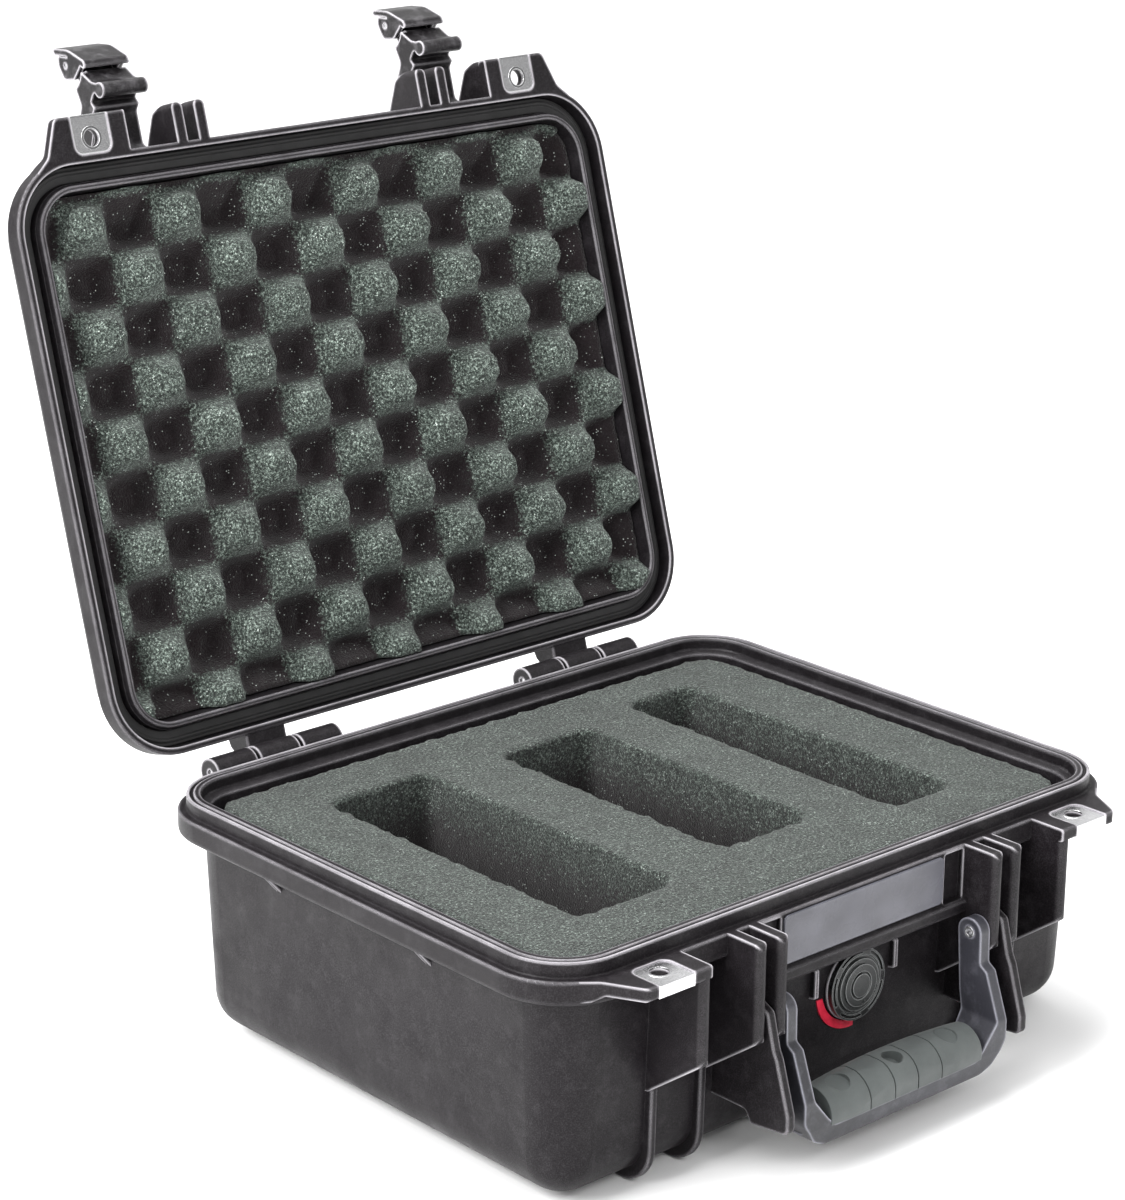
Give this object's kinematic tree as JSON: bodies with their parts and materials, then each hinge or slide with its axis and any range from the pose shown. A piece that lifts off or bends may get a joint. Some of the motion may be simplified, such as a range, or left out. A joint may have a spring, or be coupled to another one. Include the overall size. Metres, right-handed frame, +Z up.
{
  "type": "hard equipment case",
  "caption": "Small hard-shell equipment case standing open, with cut foam in the base, egg-crate foam in the lid, draw latches, padlock tabs and a folding handle.",
  "frame": {"origin": "on the floor, under the middle of the base rim", "axes": "+X right, -Y the front with latches and handle, +Z up"},
  "size_m": [0.34, 0.4438, 0.4088],
  "materials": {
    "shell_plastic": "satin",
    "latch_plastic": "satin",
    "handle_plastic": "satin",
    "grip_rubber": "satin",
    "foam": "matte",
    "gasket_rubber": "matte",
    "stainless": "brushed",
    "pin_steel": "satin",
    "nameplate_plastic": "satin",
    "valve_plastic": "satin",
    "valve_cap_plastic": "satin",
    "seal_rubber": "matte",
    "membrane": "matte",
    "label_red": "gloss"
  },
  "bodies": {
    "base": {"base_shell": "shell_plastic", "base_foam_pad": "foam", "base_foam_bottom": "foam", "hinge_pin_left": "pin_steel", "hinge_pin_right": "pin_steel", "padlock_plate_base_left": "stainless", "padlock_plate_base_right": "stainless", "handle_pin_left": "pin_steel", "handle_pin_right": "pin_steel", "nameplate": "nameplate_plastic", "valve_body": "valve_plastic", "valve_ring": "valve_plastic", "valve_cap": "valve_cap_plastic", "valve_seal": "seal_rubber", "valve_nut": "valve_plastic", "valve_membrane": "membrane", "valve_label": "label_red"},
    "lid": {"lid_shell": "shell_plastic", "lid_gasket": "gasket_rubber", "lid_foam": "foam", "padlock_plate_lid_left": "stainless", "padlock_plate_lid_right": "stainless", "latch_pin_left": "pin_steel", "latch_pin_right": "pin_steel"},
    "latch_left": {"latch_arm_left": "latch_plastic", "lever_pin_left": "pin_steel"},
    "latch_right": {"latch_arm_right": "latch_plastic", "lever_pin_right": "pin_steel"},
    "lever_left": {"latch_lever_left": "latch_plastic"},
    "lever_right": {"latch_lever_right": "latch_plastic"},
    "handle": {"handle_frame": "handle_plastic", "handle_grip": "grip_rubber"}
  },
  "joints": [
    {"name": "lid_hinge", "type": "hinge", "parent": "base", "child": "lid", "pos_m": [0, 0.1444, 0.1059], "axis": [-1, 0, 0], "range_deg": [-106, 0]},
    {"name": "latch_left", "type": "hinge", "parent": "lid", "child": "latch_left", "pos_m": [-0.092, 0.23832, 0.36234], "axis": [-1, 0, 0], "range_deg": [-90, 0]},
    {"name": "lever_left", "type": "hinge", "parent": "latch_left", "child": "lever_left", "pos_m": [-0.092, 0.27204, 0.40157], "axis": [1, 0, 0], "range_deg": [-113.5, 0]},
    {"name": "latch_right", "type": "hinge", "parent": "lid", "child": "latch_right", "pos_m": [0.092, 0.23832, 0.36234], "axis": [-1, 0, 0], "range_deg": [-90, 0]},
    {"name": "lever_right", "type": "hinge", "parent": "latch_right", "child": "lever_right", "pos_m": [0.092, 0.27204, 0.40157], "axis": [1, 0, 0], "range_deg": [-113.5, 0]},
    {"name": "handle_pivot", "type": "hinge", "parent": "base", "child": "handle", "pos_m": [0, -0.1426, 0.0725], "axis": [-1, 0, 0], "range_deg": [0, 90]}
  ]
}
